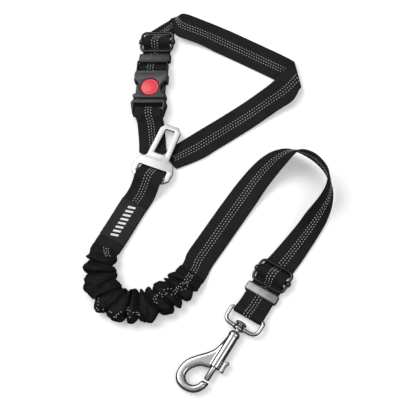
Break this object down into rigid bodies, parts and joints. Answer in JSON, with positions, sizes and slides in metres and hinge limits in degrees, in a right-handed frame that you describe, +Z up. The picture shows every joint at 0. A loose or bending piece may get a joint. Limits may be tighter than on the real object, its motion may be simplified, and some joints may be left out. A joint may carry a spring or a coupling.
{
  "type": "dog car restraint leash",
  "caption": "Car leash for a dog: headrest loop with side-release buckle, seat-belt tongue, gathered elastic section, webbing leash and swivel bolt snap.",
  "frame": {"origin": "centre of the bounding box's base, on the table that the leash lies on", "axes": "+Z up from the table, +Y along the laid-out leash towards the headrest loop, +X towards the turn of the webbing leash"},
  "size_m": [0.2046, 0.338, 0.0321],
  "materials": {
    "webbing": "ribbed woven polyester webbing, matt black, three lines of light reflective stitching",
    "label": "black satin label tape with plain light slanted bars",
    "elastic": "natural elastic band, hidden in its cover",
    "buckle": "fine-grained dark grey moulded acetal",
    "button": "coral red moulded plastic",
    "gunmetal": "black plated steel, semi-gloss",
    "keeper_black": "matt dark grey",
    "steel": "satin stamped steel",
    "nickel": "bright nickel plate",
    "spring": "drawn spring wire"
  },
  "bodies": {
    "harness": {"loop_strap": "webbing", "loop_strap_end": "webbing", "label_strap": "webbing", "label_patch": "label", "elastic_cover": "webbing", "elastic_core": "elastic", "buckle_base": "buckle", "buckle_base_strap": "webbing"},
    "left_arm": {"buckle_arm_left": "buckle"},
    "right_arm": {"buckle_arm_right": "buckle"},
    "tongue": {"seat_belt_tongue": "steel"},
    "buckle_top": {"buckle_housing": "buckle", "buckle_end_strap": "webbing", "upper_slider_bar": "gunmetal", "lock_button_spring": "spring"},
    "upper_frame": {"upper_slider_frame": "gunmetal"},
    "upper_keeper": {"upper_keeper": "keeper_black"},
    "button": {"lock_button": "button"},
    "leash": {"leash_strap": "webbing", "leash_end_strap": "webbing", "lower_slider_bar": "gunmetal"},
    "lower_frame": {"lower_slider_frame": "gunmetal"},
    "lower_keeper": {"lower_keeper": "steel"},
    "eye": {"swivel_eye": "nickel"},
    "snap": {"snap_body": "nickel", "swivel_post": "nickel", "bolt_spring": "spring"},
    "bolt": {"snap_bolt": "nickel", "thumb_stud": "nickel"}
  },
  "joints": [
    {"name": "elastic_stretch", "type": "slide", "parent": "harness", "child": "leash", "axis": [1, 0, 0], "range_m": [0, 0.08], "stiffness_N_per_m": 120, "deforming": ["elastic_cover", "elastic_core"]},
    {"name": "tongue_tilt", "type": "hinge", "parent": "harness", "child": "tongue", "pos_m": [-0.05028, 0.01199, 0.0053], "axis": [0.9205, -0.3907, 0], "range_deg": [0, 75]},
    {"name": "buckle_release", "type": "slide", "parent": "harness", "child": "buckle_top", "axis": [0.0698, 0.9976, 0], "range_m": [0, 0.03], "deforming": ["loop_strap_end"]},
    {"name": "left_arm_squeeze", "type": "hinge", "parent": "harness", "child": "left_arm", "pos_m": [-0.05837, 0.08622, 0.0044], "axis": [0, 0, -1], "range_deg": [0, 6], "stiffness_Nm_per_rad": 0.6},
    {"name": "right_arm_squeeze", "type": "hinge", "parent": "harness", "child": "right_arm", "pos_m": [-0.04381, 0.08521, 0.0044], "axis": [0, 0, 1], "range_deg": [0, 6], "stiffness_Nm_per_rad": 0.6},
    {"name": "lock_button_press", "type": "slide", "parent": "buckle_top", "child": "button", "axis": [0, 0, -1], "range_m": [0, 0.0016], "stiffness_N_per_m": 250, "springref_m": -0.0008, "deforming": ["lock_button_spring"]},
    {"name": "upper_slider_shift", "type": "slide", "parent": "buckle_top", "child": "upper_frame", "axis": [0.0698, 0.9976, 0], "range_m": [0, 0.001]},
    {"name": "upper_keeper_slide", "type": "slide", "parent": "buckle_top", "child": "upper_keeper", "axis": [0.0698, 0.9976, 0], "range_m": [0, 0.0005]},
    {"name": "lower_slider_shift", "type": "slide", "parent": "leash", "child": "lower_frame", "axis": [0.5373, 0.8434, 0], "range_m": [0, 0.001]},
    {"name": "lower_keeper_slide", "type": "slide", "parent": "leash", "child": "lower_keeper", "axis": [-0.5373, -0.8434, 0], "range_m": [0, 0.007]},
    {"name": "eye_swing", "type": "hinge", "parent": "leash", "child": "eye", "pos_m": [0.03085, -0.1097, 0.0048], "axis": [-0.8434, 0.5373, 0], "range_deg": [-80, 80]},
    {"name": "snap_swivel", "type": "hinge", "parent": "eye", "child": "snap", "pos_m": [0.0215, -0.12307, 0.0048], "axis": [0.5373, 0.8434, 0], "continuous": true},
    {"name": "bolt_slide", "type": "slide", "parent": "snap", "child": "bolt", "axis": [0.5373, 0.8434, 0], "range_m": [0, 0.0105], "stiffness_N_per_m": 250, "springref_m": -0.003, "deforming": ["bolt_spring"]}
  ]
}
